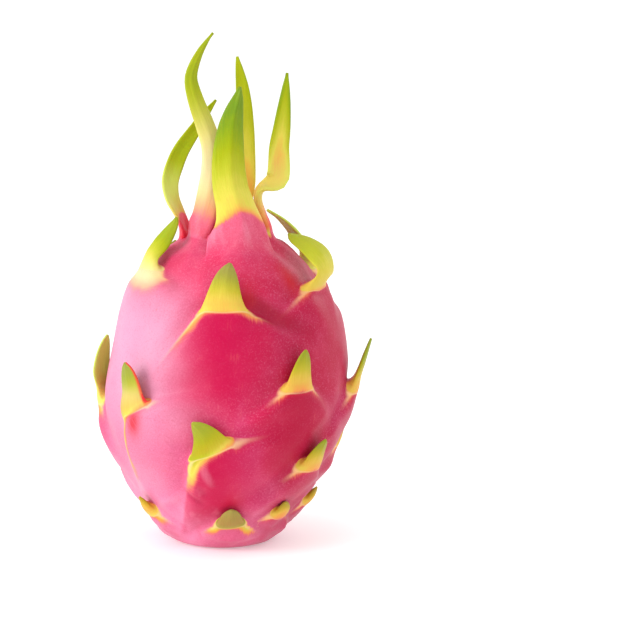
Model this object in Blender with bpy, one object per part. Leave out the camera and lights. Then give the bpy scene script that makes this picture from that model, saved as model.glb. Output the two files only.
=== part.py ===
"""Dragon fruit: one whole fruit that stands on the small flat spot at its stem end.

The fruit grew as one piece, so it is one solid. A sphere's grid of columns and rows is laid on
the turned outline of the body. Where a bract grows, a block of the grid's cells is moved to its
place, the skin below it is raised as a mound, and the block is extruded along the bract's spine.

Lengths are in millimetres and are turned into metres where a vertex is placed. +Z is up, the
origin is the centre of the flat spot, and azimuths run from the -Y side towards +X.
"""

import bisect
import math
import random
from dataclasses import dataclass

import bmesh
import bpy
from mathutils import Quaternion, Vector

NAME = "dragon_fruit"
MM = 0.001
TURN = 2.0 * math.pi
CURVE_PIECES = 8
SPINE_PIECES = 24
HALVINGS = 40
PROBE = 0.5
SHARP_ANGLE = 50.0

# Body: (radius, height) of the skin between the mounds, from the rim of the flat spot to the neck
OUTLINE = [
    (16.5, 0.0), (20.8, 2.2), (28.2, 10.5), (35.8, 23.7), (42.6, 38.0), (46.0, 54.0), (45.6, 68.0),
    (42.4, 82.0), (37.5, 94.0), (31.5, 103.5), (23.5, 111.0), (16.0, 116.0), (12.6, 120.0), (10.6, 123.6),
]
# Flat spot, from its centre: the stem's scar, the groove round it, and the rim that it stands on
FOOT = [(0.0, 0.0), (3.0, 0.0), (6.0, 0.0), (7.2, 1.2), (8.6, 0.0)]
# Scar of the flower inside the crown, down to its centre
NAVEL = [(8.8, 124.8), (6.6, 124.0), (4.3, 122.0), (0.0, 121.2)]
LEAN_TO_RIGHT = 3.0
LEAN_FROM_HEIGHT = 35.0
LEAN_TO_HEIGHT = 95.0
LUMP = 0.5
LUMP_FADE = 12.0

# Grid
COLUMNS = 60
SIDE_ROWS = 29
SPREAD = 12.0
LEAST_CELLS = 3
MOST_DROOP = 3.0

# Mounds below the bracts
MARGIN_START = 0.42
EDGE = 5.0
SOFTER_AFTER = 14.0
MOUND_REACH = 25.0
MOUND_LENGTH = 38.0
POCKET_DEPTH = 0.8
POCKET_LENGTH = 11.0
MERGE_POWER = 4.0
ROOT_FADE = 3.0

# Blades
ROOT_THICKNESS = 4.8
ROOT_END = 2.6
STAND_OFF = 2.1
STAND_OFF_LENGTH = 2.2
TURN_LENGTH = 4.5
BLEND_LENGTH = 6.0
EDGE_THICKNESS = 0.75
TIP_WIDTH = 1.1
TIP_THICKNESS = 1.0
CUP_POWER = 1.6
CROWDING = 1.35

SEED = 7
ROUGHNESS = 0.42
PINK = (0.76, 0.06, 0.22, 1.0)


@dataclass
class Bract:
    """One bract: where it grows, and the shape of its blade and of the mound below it."""

    azimuth: float
    height: float
    base: float
    blade: float
    length: float = 20.0
    lean: float = 0.15
    curl: float = 0.0
    bend: float = 0.0
    slope_left: float = 0.9
    slope_right: float = 0.9
    tilt: float = 0.0
    swell: float = 3.6
    recess: float = 0.9
    recess_left: float = 1.0
    thickness: float = 2.2
    flare_length: float = 4.5
    flare_power: float = 1.0
    cup: float = 0.12
    keel: float = 0.15
    fullness: float = 2.2
    taper: float = 0.65
    stand_off: float = STAND_OFF
    twist: tuple = (0.0, 0.3, 0.5)
    steps: int = 6
    route: tuple = ()


CROWN = [
    # front blade, with its outer face seen
    Bract(15, 113, 27, 13.9, slope_left=1.4, slope_right=1.4, swell=2.8, recess=0.3, thickness=2.4,
          flare_length=14.5, flare_power=2.2, cup=0.4, keel=0.35, fullness=3.6, taper=0.85,
          stand_off=1.6, steps=12,
          route=((8.2, -17.6, 123.5), (6.6, -15.8, 131), (4.5, -13.6, 138.5), (3.7, -11.6, 147.7),
                 (4.3, -10.6, 158.5), (5.4, -10, 165), (6.6, -9.6, 170), (7.5, -9.2, 175))),
    # tall blade with an S-bend, left of the front blade
    Bract(-60, 119, 12, 8.2, slope_left=0.7, slope_right=1.2, swell=2.6, flare_length=10, fullness=3.0,
          taper=1.0, twist=(45.0, 0.05, 0.4), steps=14,
          route=((-7.0, -9.5, 125), (-4.9, -9, 132.9), (-3.2, -7.5, 142), (-3.2, -6.5, 151.6),
                 (-5.6, -6, 159.8), (-8.9, -6, 168.8), (-10.9, -5.5, 176.5), (-10.2, -5.2, 181.5),
                 (-7.8, -4.8, 187.1), (-5.1, -4.2, 191.5), (-2.7, -3.6, 194.6))),
    # left blade, which leans out and then passes behind the tall one
    Bract(-107, 115.5, 10, 7.2, slope_left=0.6, slope_right=0.6, swell=2.5, flare_length=6, cup=0.25,
          fullness=3.0, taper=0.8, twist=(-62.0, 0.1, 0.6), steps=12,
          route=((-15.3, 2.5, 122), (-17.2, 2.5, 126.5), (-19.3, 2.5, 131.5), (-19.9, 3, 137),
                 (-18.6, 3.5, 142), (-15.3, 4, 149.5), (-10.6, 4.5, 156.5), (-6.6, 4.5, 162.5),
                 (-2.0, 4.5, 168.5))),
    # back blade
    Bract(158, 119, 11, 8.8, slope_left=0.8, slope_right=0.8, swell=2.5, flare_length=8, fullness=2.6,
          taper=0.7, steps=9,
          route=((6.5, 12, 127), (8.2, 10.5, 136), (8.6, 9.5, 147), (8.6, 9, 161), (8, 8.5, 172),
                 (6, 7.5, 184.6))),
    # right blade, kinked, with its inner face turned to the front
    Bract(88, 119, 9, 8.8, slope_left=0.8, slope_right=0.8, swell=2.5, flare_length=6, fullness=2.6,
          taper=0.8, twist=(85.0, 0.37, 0.5), steps=15,
          route=((15.2, 0.5, 126), (13.8, 0.8, 131), (14.8, 0.8, 135), (18.9, 1.2, 137), (21, 1.5, 138.6),
                 (21.6, 2, 141.5), (21.7, 2, 145), (21.8, 2, 151), (22.8, 2, 158), (24, 2, 169),
                 (24.9, 2, 179))),
    # short blade at the back left
    Bract(-153, 119, 9, 7, slope_left=0.8, slope_right=0.8, swell=2.5, flare_length=6, fullness=2.4,
          taper=0.7, steps=7,
          route=((-4.4, 12.8, 127), (-2.4, 11.5, 136), (-0.4, 11.5, 146), (1.5, 12.5, 154))),
]

SHOULDER = [
    # left shoulder, hooked over the neck
    Bract(-71, 105.5, 16, 7.2, slope_left=0.8, slope_right=0.35, fullness=2.8, twist=(28.0, 0.15, 0.6),
          steps=7,
          route=((-26.6, -10.8, 111.3), (-23.2, -9.9, 115.2), (-20.0, -9, 119.4), (-17.4, -8.2, 123.4),
                 (-16.6, -8, 125.6))),
    # front of the shoulder
    Bract(-2, 94.5, 20, 11.5, length=16.5, lean=0.36, bend=2.4, slope_left=1.3, slope_right=0.5,
          swell=4.2, recess=2.8, recess_left=0.3, fullness=2.6, taper=0.75),
    # broad blade at the right shoulder, curled inward
    Bract(64, 100, 18, 12, slope_left=0.6, slope_right=0.8, swell=4.0, fullness=3.0,
          twist=(-40.0, 0.1, 0.6), steps=8,
          route=((39.6, -17, 105), (39.4, -16, 109), (36.6, -14.5, 113.2), (32, -12.5, 116.4),
                 (28, -10.5, 118.2), (25.4, -8.5, 119.3))),
    # slim blade behind it, whose inner face is seen
    Bract(124, 102, 14, 9, slope_left=0.7, slope_right=0.7, fullness=2.6, steps=8,
          route=((33.2, 20.8, 107), (31, 18.8, 111.3), (27.6, 15.7, 116.4), (25, 13.2, 119.7),
                 (21.8, 11.2, 122.8), (17.2, 9, 125.9))),
]

MIDDLE = [
    # left side, close to the skin
    Bract(-100, 53, 14, 9, length=25, lean=0.2, curl=-0.3, fullness=3.0, twist=(-30.0, 0.1, 0.5), steps=7),
    Bract(-43, 57.5, 14, 9.5, length=18.5, lean=0.14, bend=-2.0, slope_left=4.5, slope_right=0.15,
          tilt=0.45, fullness=3.2, stand_off=2.6),
    Bract(36, 66, 15, 9, length=15, lean=0.2),
]

LOW = [
    Bract(-4, 44.5, 17, 13, length=13, lean=0.2, bend=-7.0, slope_left=5.0, slope_right=0.25, tilt=0.4,
          swell=4.2, fullness=1.5),
    Bract(-59, 15, 9, 6, length=7.5, lean=0.1, swell=2.0, steps=4),
]

BOTTOM = [
    Bract(7, 13, 11, 8, length=9, lean=0.1, swell=2.4, fullness=3.0, steps=4),
]


def ease(value):
    """Smooth step from 0 to 1."""
    value = min(max(value, 0.0), 1.0)
    return value * value * (3.0 - 2.0 * value)


def mix(start, end, share):
    return start + (end - start) * share


def smooth_curve(points, pieces):
    """A Catmull-Rom curve through the points, with the given number of pieces between two of them."""
    knots = [Vector(point) for point in points]
    knots = [knots[0] * 2.0 - knots[1], *knots, knots[-1] * 2.0 - knots[-2]]
    curve = [knots[1]]
    for before, start, end, after in zip(knots, knots[1:], knots[2:], knots[3:]):
        for piece in range(1, pieces + 1):
            t = piece / pieces
            curve.append(0.5 * (
                start * 2.0
                + (end - before) * t
                + (before * 2.0 - start * 5.0 + end * 4.0 - after) * t ** 2
                + (start * 3.0 - before - end * 3.0 + after) * t ** 3))
    return curve


class Line:
    """A polyline that is read by the distance along it."""

    def __init__(self, points):
        self.points = [Vector(point) for point in points]
        self.marks = [0.0]
        for start, end in zip(self.points, self.points[1:]):
            self.marks.append(self.marks[-1] + (end - start).length)

    @property
    def length(self):
        return self.marks[-1]

    def at(self, distance):
        index = bisect.bisect_right(self.marks, distance) - 1
        index = min(max(index, 0), len(self.points) - 2)
        share = (distance - self.marks[index]) / (self.marks[index + 1] - self.marks[index])
        return self.points[index].lerp(self.points[index + 1], share)

    def tangent(self, distance):
        half = min(PROBE, self.length / 4.0)
        ahead = self.at(min(distance + half, self.length))
        return (ahead - self.at(max(distance - half, 0.0))).normalized()


class Body:
    """The turned body: its profile from the centre of the flat spot to the centre of the navel."""

    def __init__(self):
        side = [tuple(point) for point in smooth_curve(OUTLINE, CURVE_PIECES)]
        self.profile = Line([*FOOT, *side, *NAVEL])
        rim = self.profile.marks[len(FOOT)]
        neck = self.profile.marks[len(FOOT) + len(side) - 1]
        side_rows = [mix(rim, neck, row / SIDE_ROWS) for row in range(SIDE_ROWS + 1)]
        self.rows = [*self.profile.marks[:len(FOOT)], *side_rows, *self.profile.marks[-len(NAVEL):]]
        self.rim = rim
        self.neck = neck

    def radius(self, arc):
        return self.profile.at(arc).x

    def arc_at(self, height):
        """Distance along the profile at which the side of the body reaches a height."""
        low = self.rim
        high = self.neck
        for _ in range(HALVINGS):
            middle = (low + high) / 2.0
            if self.profile.at(middle).y < height:
                low = middle
            else:
                high = middle
        return low

    def bare_point(self, azimuth, arc):
        """A point of the skin without any mound."""
        radius, height = self.profile.at(arc)
        fade = ease((arc - self.rim) / LUMP_FADE) * ease((self.neck - arc) / LUMP_FADE)
        lump = math.sin(3.0 * azimuth + height / 17.0) + 0.7 * math.sin(5.0 * azimuth - height / 11.0)
        radius += LUMP * lump * fade
        lean = LEAN_TO_RIGHT * ease((height - LEAN_FROM_HEIGHT) / (LEAN_TO_HEIGHT - LEAN_FROM_HEIGHT))
        return Vector((lean + radius * math.sin(azimuth), -radius * math.cos(azimuth), height))

    def directions(self, azimuth, arc):
        """Unit vectors across (towards a larger azimuth), up the profile, and out of the skin."""
        turn = PROBE / max(self.radius(arc), PROBE)
        across = self.bare_point(azimuth + turn, arc) - self.bare_point(azimuth - turn, arc)
        up = self.bare_point(azimuth, arc + PROBE) - self.bare_point(azimuth, arc - PROBE)
        out = across.cross(up).normalized()
        return across.normalized(), up.normalized(), out


def margin_height(bract, across):
    """How far a bract's margin, which runs down beside the blade, is below its middle."""
    slope = bract.slope_left if across < 0.0 else bract.slope_right
    return -slope * max(abs(across) - MARGIN_START * bract.base, 0.0)


def margin_of(bract, across, up):
    """How far a place of the skin is below a bract's margin, and how far along it from the blade.

    The margin is flat below the blade and runs down on both sides of it, like a roof.
    """
    below = -up
    path = 0.0
    start = MARGIN_START * bract.base
    for side, slope in ((-1.0, bract.slope_left), (1.0, bract.slope_right)):
        outward = side * across - start
        length = math.hypot(slope, 1.0)
        distance = -(slope * outward + up) / length
        if distance < below:
            below = distance
            path = max((outward - slope * up) / length, 0.0)
    return below, path


def mound(bract, across, up):
    """Height of a bract's mound, and share of the pocket between blade and skin, at one place."""
    below, path = margin_of(bract, across, up)
    beyond = max(abs(across) - MARGIN_START * bract.base, 0.0)
    fade = math.exp(-(beyond / MOUND_REACH) ** 2)
    edge = EDGE * (1.0 + path / SOFTER_AFTER)
    raised = bract.swell * ease(below / edge + 0.5) * fade * (1.0 - ease(-up / MOUND_LENGTH))
    pocket = fade * ease(0.5 - below / edge) * (1.0 - ease(-below / POCKET_LENGTH))
    return raised, pocket


class Block:
    """The grid cells that a bract is extruded from."""

    def __init__(self, body, bract):
        self.body = body
        self.bract = bract
        self.azimuth = math.radians(bract.azimuth)
        self.arc = body.arc_at(bract.height)
        self.radius = body.radius(self.arc)
        column_angle = TURN / COLUMNS
        self.columns = max(LEAST_CELLS, round(bract.base / (self.radius * column_angle)))
        self.rows = 1
        self.first_column = round(self.azimuth / column_angle - self.columns / 2.0)
        row = bisect.bisect_right(body.rows, self.arc) - 1
        share = (self.arc - body.rows[row]) / (body.rows[row + 1] - body.rows[row])
        self.first_row = round(row + share - self.rows / 2.0)

    def cell(self, column):
        """Number of a column counted from the block's first one, between half a turn each way."""
        return (column - self.first_column + COLUMNS // 2) % COLUMNS - COLUMNS // 2

    def rest(self, i, j):
        """Where the grid has the block's corner at first."""
        return TURN * (self.first_column + i) / COLUMNS, self.body.rows[self.first_row + j]

    def target(self, i, j):
        """Where the bract needs the block's corner."""
        across = (i / self.columns - 0.5) * self.bract.base
        droop = max(margin_height(self.bract, across), -MOST_DROOP)
        side = 2.0 * i / self.columns - 1.0
        thick = mix(ROOT_END, ROOT_THICKNESS, math.sqrt(1.0 - side * side))
        up = (j / self.rows - 0.5) * thick + droop + self.bract.tilt * across
        return self.azimuth + across / self.radius, self.arc + up

    def pull(self, column, row):
        """Shift of a grid point that follows the nearest corner of the block, fading with distance."""
        i = self.cell(column)
        near_i = min(max(i, 0), self.columns)
        near_row = min(max(row, self.first_row), self.first_row + self.rows)
        arc = self.body.rows[row]
        gap_across = (i - near_i) * TURN / COLUMNS * self.body.radius(arc)
        gap_up = arc - self.body.rows[near_row]
        weight = 1.0 - ease(math.hypot(gap_across, gap_up) / SPREAD)
        if weight == 0.0:
            return 0.0, 0.0
        rest = self.rest(near_i, near_row - self.first_row)
        target = self.target(near_i, near_row - self.first_row)
        return (target[0] - rest[0]) * weight, (target[1] - rest[1]) * weight

    def corners(self):
        for i in range(self.columns + 1):
            for j in range(self.rows + 1):
                yield i, j, (self.first_column + i) % COLUMNS, self.first_row + j


def grid_place(body, blocks, corners, column, row):
    """Azimuth and distance along the profile of one grid point."""
    if (column, row) in corners:
        block, i, j = corners[column, row]
        return block.target(i, j)
    azimuth = TURN * column / COLUMNS
    arc = body.rows[row]
    if not body.rim < arc < body.neck:
        return azimuth, arc
    for block in blocks:
        turn, rise = block.pull(column, row)
        azimuth += turn
        arc += rise
    return azimuth, min(max(arc, body.rim), body.neck)


def skin_point(body, blocks, azimuth, arc):
    """A point of the skin with the mounds and recesses of all bracts."""
    point = body.bare_point(azimuth, arc)
    fade = ease((arc - body.rim) / LUMP_FADE) * ease((body.neck - arc) / ROOT_FADE)
    if fade == 0.0:
        return point
    radius = body.radius(arc)
    raised = 0.0
    pocket = 0.0
    hollow = 0.0
    for block in blocks:
        bract = block.bract
        turn = (azimuth - block.azimuth + math.pi) % TURN - math.pi
        across = turn * radius
        height, share = mound(bract, across, arc - block.arc - bract.tilt * across)
        raised += height ** MERGE_POWER
        pocket = max(pocket, share)
        depth = bract.recess * mix(bract.recess_left, 1.0, ease(across / bract.base + 0.5))
        hollow = max(hollow, share * depth)
    raised = raised ** (1.0 / MERGE_POWER) * (1.0 - POCKET_DEPTH * pocket)
    return point + body.directions(azimuth, arc)[2] * (raised - hollow) * fade


def spine_of(block, root, across, up, out):
    """The line along which a bract is extruded, from the middle of its block to its tip."""
    bract = block.bract
    if bract.route:
        first = root + out * bract.stand_off
        return Line(smooth_curve([root, first, *bract.route], CURVE_PIECES))
    points = []
    for index in range(SPINE_PIECES + 1):
        q = index / SPINE_PIECES
        rise = bract.length * q
        stand = bract.stand_off * (1.0 - math.exp(-rise / STAND_OFF_LENGTH))
        stand += bract.length * (bract.lean * q + bract.curl * q ** 2)
        points.append(root + out * stand + up * rise + across * (bract.bend * q ** 2))
    return Line(points)


def blade_width(bract, distance, share):
    flare = (bract.base - bract.blade) * math.exp(-(distance / bract.flare_length) ** bract.flare_power)
    narrowed = bract.blade * (1.0 - share ** bract.fullness) ** bract.taper
    return max(narrowed, TIP_WIDTH) + flare * (1.0 - share)


def blade_thickness(bract, distance, share):
    thick = bract.thickness + (ROOT_THICKNESS - bract.thickness) * math.exp(-distance / STAND_OFF_LENGTH)
    return mix(thick, TIP_THICKNESS, share ** 2)


def grow_blade(mesh, block, faces, layers):
    """Extrude a block of faces along its bract's spine, ring by ring."""
    bract = block.bract
    across, up, out = block.body.directions(block.azimuth, block.arc)
    verts = {vert for face in faces for vert in face.verts}
    root = sum((vert.co for vert in verts), Vector()) / len(verts) / MM
    roots = {}
    for vert in verts:
        offset = vert.co / MM - root
        roots[vert[layers[0]], vert[layers[1]]] = (offset.dot(up), offset.dot(out))
    spine = spine_of(block, root, across, up, out)
    tangent = out
    angle = 0.0
    for step in range(1, bract.steps + 1):
        share = (step / bract.steps) ** CROWDING
        distance = share * spine.length
        centre = spine.at(distance)
        ahead = spine.tangent(distance)
        across = tangent.rotation_difference(ahead) @ across
        twist, twist_from, twist_to = bract.twist
        turned = math.radians(twist) * ease((share - twist_from) / (twist_to - twist_from))
        across = Quaternion(ahead, turned - angle) @ across
        angle = turned
        tangent = ahead
        inward = up.lerp(tangent.cross(across), ease(distance / TURN_LENGTH)).normalized()
        along = across.cross(inward)
        half_width = blade_width(bract, distance, share) / 2.0
        thick = blade_thickness(bract, distance, share)
        blend = ease(distance / BLEND_LENGTH)
        result = bmesh.ops.extrude_face_region(mesh, geom=faces)
        bmesh.ops.delete(mesh, geom=faces, context="FACES")
        faces = [item for item in result["geom"] if isinstance(item, bmesh.types.BMFace)]
        for vert in result["geom"]:
            if not isinstance(vert, bmesh.types.BMVert):
                continue
            i = vert[layers[0]]
            j = vert[layers[1]]
            s = 2.0 * i / block.columns - 1.0
            d = 2.0 * j / block.rows - 1.0
            local = mix(EDGE_THICKNESS, thick, math.sqrt(1.0 - s * s)) / 2.0
            root_up, root_out = roots[i, j]
            keel = bract.keel * ease(1.0 - abs(s) * 2.0) * (1.0 - d) / 2.0
            cupped = d * local - keel + bract.cup * half_width * abs(s) ** CUP_POWER
            x = half_width * s
            y = mix(root_up, cupped, blend)
            z = mix(root_out, 0.0, blend)
            vert.co = (centre + across * x + inward * y + along * z) * MM


def hidden_ring(draw, height, azimuths, length, lean, **shape):
    """Bracts round the other sides that continue a ring of the front, each a little different."""
    return [
        Bract(azimuth + draw.uniform(-3.0, 3.0), height + draw.uniform(-2.5, 2.5),
              length=length * draw.uniform(0.85, 1.15), lean=lean * draw.uniform(0.7, 1.3),
              bend=draw.uniform(-2.0, 2.0), slope_left=draw.uniform(0.6, 1.2),
              slope_right=draw.uniform(0.6, 1.2), **shape)
        for azimuth in azimuths]


def all_bracts():
    """Every bract of the fruit, from the crown down."""
    draw = random.Random(SEED)
    return [
        *CROWN,
        *SHOULDER,
        *hidden_ring(draw, 97, (165, -132), 19, 0.3, base=15, blade=9, curl=-0.2),
        *MIDDLE,
        *hidden_ring(draw, 61, (88, 134, 180, -142), 19, 0.2, base=14, blade=9.5),
        *LOW,
        *hidden_ring(draw, 34, (50, 108, 158, -160, -118), 14, 0.15, base=14, blade=9.5, steps=5),
        *BOTTOM,
        *hidden_ring(draw, 18, (42, 85, 133, -175, -108), 7, 0.05, base=9, blade=6, swell=2.0, steps=4,
                     stand_off=2.8),
    ]


def skin_material():
    material = bpy.data.materials.new("skin")
    material.use_nodes = True
    shader = material.node_tree.nodes["Principled BSDF"]
    shader.inputs["Base Color"].default_value = PINK
    shader.inputs["Roughness"].default_value = ROUGHNESS
    shader.inputs["Metallic"].default_value = 0.0
    return material


def make_fruit():
    """The whole fruit as one closed mesh."""
    body = Body()
    blocks = [Block(body, bract) for bract in all_bracts()]
    corners = {}
    for block in blocks:
        for i, j, column, row in block.corners():
            if (column, row) in corners:
                other = corners[column, row][0].bract
                raise ValueError(f"bracts meet at azimuths {block.bract.azimuth} and {other.azimuth}")
            corners[column, row] = (block, i, j)

    mesh = bmesh.new()
    layers = (mesh.verts.layers.int.new("block_column"), mesh.verts.layers.int.new("block_row"))
    last_row = len(body.rows) - 1
    bmesh.ops.create_uvsphere(mesh, u_segments=COLUMNS, v_segments=last_row, radius=1.0)
    places = {}
    for vert in mesh.verts:
        column = round(math.atan2(vert.co.x, -vert.co.y) / TURN * COLUMNS) % COLUMNS
        row = round((1.0 - math.acos(max(-1.0, min(1.0, vert.co.z))) / math.pi) * last_row)
        places[vert] = (column, row)
    cells = {}
    for face in mesh.faces:
        rows = [places[vert][1] for vert in face.verts]
        columns = [places[vert][0] for vert in face.verts]
        if len(rows) == 4:
            column = max(columns) if max(columns) - min(columns) > 1 else min(columns)
            cells[column, min(rows)] = face
    for vert, (column, row) in places.items():
        azimuth, arc = grid_place(body, blocks, corners, column, row)
        vert.co = skin_point(body, blocks, azimuth, arc) * MM

    for block in blocks:
        faces = []
        for i, j, column, row in block.corners():
            if i < block.columns and j < block.rows:
                faces.append(cells[column, row])
        numbers = {(column, row): (i, j) for i, j, column, row in block.corners()}
        for vert in {vert for face in faces for vert in face.verts}:
            vert[layers[0]], vert[layers[1]] = numbers[places[vert]]
        grow_blade(mesh, block, faces, layers)

    bmesh.ops.recalc_face_normals(mesh, faces=mesh.faces)
    data = bpy.data.meshes.new(NAME)
    mesh.to_mesh(data)
    mesh.free()
    data.shade_smooth()
    data.set_sharp_from_angle(angle=math.radians(SHARP_ANGLE))
    data.materials.append(skin_material())
    return bpy.data.objects.new(NAME, data)


def main():
    for item in list(bpy.data.objects):
        bpy.data.objects.remove(item)
    collection = bpy.data.collections.new(NAME)
    bpy.context.scene.collection.children.link(collection)
    collection.objects.link(make_fruit())


main()
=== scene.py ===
"""Dragon fruit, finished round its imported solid: skin, mounds, bracts, crown, and the two scars.

Lengths are in millimetres until a vertex is placed, and +Z is up. Azimuths run from the -Y side,
where the camera stands, towards +X.
"""

import bisect
import math
import random
from dataclasses import dataclass

import bmesh
import bpy
import numpy as np
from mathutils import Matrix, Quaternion, Vector

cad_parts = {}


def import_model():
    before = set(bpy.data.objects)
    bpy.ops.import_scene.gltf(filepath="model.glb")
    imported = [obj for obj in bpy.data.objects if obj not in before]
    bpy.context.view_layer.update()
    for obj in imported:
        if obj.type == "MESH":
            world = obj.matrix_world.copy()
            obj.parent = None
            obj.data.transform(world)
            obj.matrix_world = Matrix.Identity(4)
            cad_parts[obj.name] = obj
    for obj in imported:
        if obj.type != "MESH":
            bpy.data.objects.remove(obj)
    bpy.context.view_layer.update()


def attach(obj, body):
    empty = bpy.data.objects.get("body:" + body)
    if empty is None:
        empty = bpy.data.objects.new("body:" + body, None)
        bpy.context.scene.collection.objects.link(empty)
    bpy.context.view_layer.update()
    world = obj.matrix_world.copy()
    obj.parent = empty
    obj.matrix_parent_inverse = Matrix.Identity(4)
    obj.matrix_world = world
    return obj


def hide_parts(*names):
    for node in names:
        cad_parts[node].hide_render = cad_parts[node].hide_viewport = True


MM = 0.001
TURN = 2.0 * math.pi

# Body: (radius, height) of the skin between the mounds, from the rim of the flat spot to the neck
OUTLINE = [
    (16.5, 0.0), (20.8, 2.2), (28.2, 10.5), (35.8, 23.7), (42.6, 38.0), (46.0, 54.0), (45.6, 68.0),
    (42.4, 82.0), (37.5, 94.0), (31.5, 103.5), (23.5, 111.0), (16.0, 116.0), (12.6, 120.0), (10.6, 123.6),
]
# Flat spot, from its centre: the stem's scar, the groove round it, and the rim that it stands on
FOOT = [
    (0.0, 0.0), (1.5, 0.0), (3.0, 0.0), (4.5, 0.0), (6.0, 0.0), (6.6, 0.6), (7.2, 1.2), (7.9, 0.6),
    (8.6, 0.0), (11.2, 0.0), (13.8, 0.0),
]
# Scar of the flower inside the crown, down to its centre
NAVEL = [
    (9.8, 124.6), (8.8, 124.8), (7.7, 124.5), (6.6, 124.0), (5.4, 123.1), (4.3, 122.0), (2.2, 121.4),
    (0.0, 121.2),
]
LEAN_TO_RIGHT = 3.0
LEAN_FROM_HEIGHT = 35.0
LEAN_TO_HEIGHT = 95.0
LUMP = 0.5
LUMP_FADE = 12.0

OUTLINE_PIECES = 16
ROUTE_PIECES = 10
SPINE_PIECES = 30
PROBE = 0.5

# Grid of the skin
COLUMNS = 240
SIDE_ROWS = 140
SPREAD = 12.0
LEAST_CELLS = 6
MOST_DROOP = 3.0

# Mounds below the bracts
MARGIN_START = 0.42
EDGE = 4.0
SOFTER_AFTER = 14.0
MOUND_REACH = 25.0
MOUND_LENGTH = 38.0
POCKET_DEPTH = 0.8
POCKET_LENGTH = 11.0
MERGE_POWER = 4.0
NECK_FADE = 3.0
NO_MARGIN = 50.0

# Colour: how far each tint reaches on skin and blades, painted light and painted shade among them
YELLOW = 0.3
MILK_PATH = 8.0
BLUSH_WIDTH = 1.1
BLUSH_SPAN = 26.0
BLUSH_FADE = 20.0
PAINTED_LIGHT_FADE = 16.0
DRY_SPAN = 0.6
RED_EDGE = 0.93
STAIN_AND_SHADE_WIDTH = 3.6
STAIN_AND_SHADE_HEIGHT = 6.0

# Blades
ROOT_THICKNESS = 4.8
ROOT_END = 1.4
STAND_OFF = 1.5
STAND_OFF_LENGTH = 2.2
TURN_LENGTH = 4.5
BLEND_LENGTH = 6.0
EDGE_THICKNESS = 0.75
TIP_WIDTH = 0.6
TIP_THICKNESS = 0.7
CUP_POWER = 1.6
EDGE_ROUNDING = 0.3
ROOT_REACH = 3.0
ROOT_SPAN = 6.0
SOFTENING = 0.6
SOFTENING_ROUNDS = 30
CROWDING = 1.25
RING_LENGTH = 1.5
LEAST_RINGS = 10

# Colour variation, folds and pores of the skin
PATCHES_PER_METRE = 38.0
CLOUDS_PER_METRE = 120.0
GRAINS_PER_METRE = 1600.0
FOLDS_PER_METRE = 210.0
PORES_PER_METRE = 420.0
FOLD_DEPTH = 0.5
PORE_DEPTH = 0.12

# Dry fibres where the flower fell off, inside the crown
FIBRE_LENGTH = 4.5
FIBRE_RADIUS = 0.3
FIBRE_TIP = 0.3
FIBRE_SIDES = 6
FIBRE_LENGTHS = 3
FIBRE_LEAN = 0.5
SHORTEST_FIBRE = 0.5
FIBRE_BED_SIDES = 24
FIBRE_BED = 4.2
FIBRE_BED_HEIGHT = 121.0
FIBRES_PER_SQUARE_METRE = 1300000.0

SEED = 7


@dataclass
class Bract:
    """One bract: where it grows, the shape of its blade and mound, and how it is coloured."""

    azimuth: float
    height: float
    base: float
    blade: float
    length: float = 20.0
    lean: float = 0.15
    curl: float = 0.0
    bend: float = 0.0
    slope_left: float = 0.9
    slope_right: float = 0.9
    tilt: float = 0.0
    swell: float = 3.6
    recess: float = 0.9
    recess_left: float = 1.0
    # How strongly the recess beside the blade is darkened with painted shade
    shade: float = 1.0
    thickness: float = 2.2
    flare_length: float = 4.5
    flare_power: float = 1.0
    cup: float = 0.12
    keel: float = 0.15
    fullness: float = 2.2
    taper: float = 0.65
    stand_off: float = STAND_OFF
    twist: tuple = (0.0, 0.3, 0.5)
    route: tuple = ()
    pink_to: float = -1.0
    green_from: float = 1.0
    green_to: float = 14.0
    greenest: float = 0.85
    red: float = 0.4
    red_reach: float = 9.0
    red_right: float = 0.0
    leg_left: float = 5.0
    leg_right: float = 5.0
    cream: float = 1.0
    arch: float = 2.0
    slant: float = 0.0
    spread: float = 6.0
    # Dark red patch beside the blade, partly stain and partly painted shade: its strength, and how far across
    # and up from the blade it lies
    stain: float = 0.0
    stain_and_shade_across: float = 0.0
    stain_and_shade_up: float = 0.0
    melt: float = 0.35
    heart: float = 0.22
    blush: float = 0.5
    milk: float = 0.0
    milk_from: float = 0.0
    milk_span: float = 8.0
    dry: float = 0.3
    dry_from: float = 0.35
    # Painted light: a lighter green on a blade that lies in shade, and how far along the blade it reaches
    bright: float = 0.0
    painted_light_to: float = 90.0


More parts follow.
